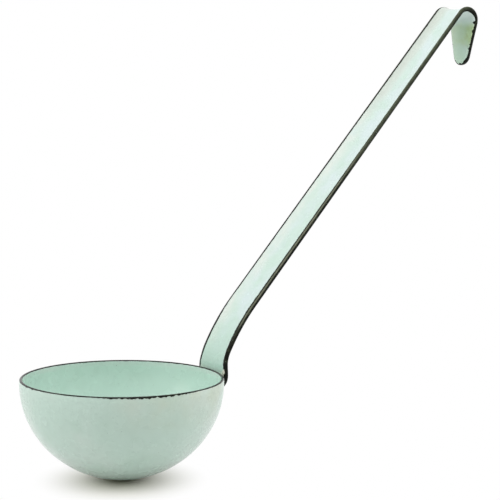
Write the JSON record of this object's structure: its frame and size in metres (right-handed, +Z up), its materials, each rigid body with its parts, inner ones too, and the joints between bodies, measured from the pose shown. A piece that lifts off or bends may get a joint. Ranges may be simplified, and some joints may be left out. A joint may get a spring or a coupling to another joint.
{
  "type": "soup ladle",
  "caption": "Enamelled steel soup ladle: deep round bowl, long strip handle welded on its side, and a hook at the top to hang it by.",
  "frame": {"origin": "middle of the length and width, at the height of the bowl's lowest point", "axes": "+Z up with the bowl level, +X from the bowl towards the hook, the mirror plane at Y = 0"},
  "size_m": [0.256, 0.1, 0.2323],
  "materials": {
    "mint_enamel": "glossy vitreous enamel over steel, slightly uneven",
    "black_rim_enamel": "glossy dark green-black enamel, ragged lower edge",
    "black_edge_enamel": "glossy black enamel, ragged edge",
    "cream_seam_enamel": "glossy enamel, pooled thick in the seam",
    "bare_steel": "bare weld metal, sealed under the enamel"
  },
  "bodies": {
    "root": {"bowl": "mint_enamel", "bowl_rim_enamel": "black_rim_enamel", "handle": "mint_enamel", "handle_edge_enamel": "black_edge_enamel", "foot_seam_enamel": "cream_seam_enamel", "spot_welds": "bare_steel"}
  },
  "joints": []
}
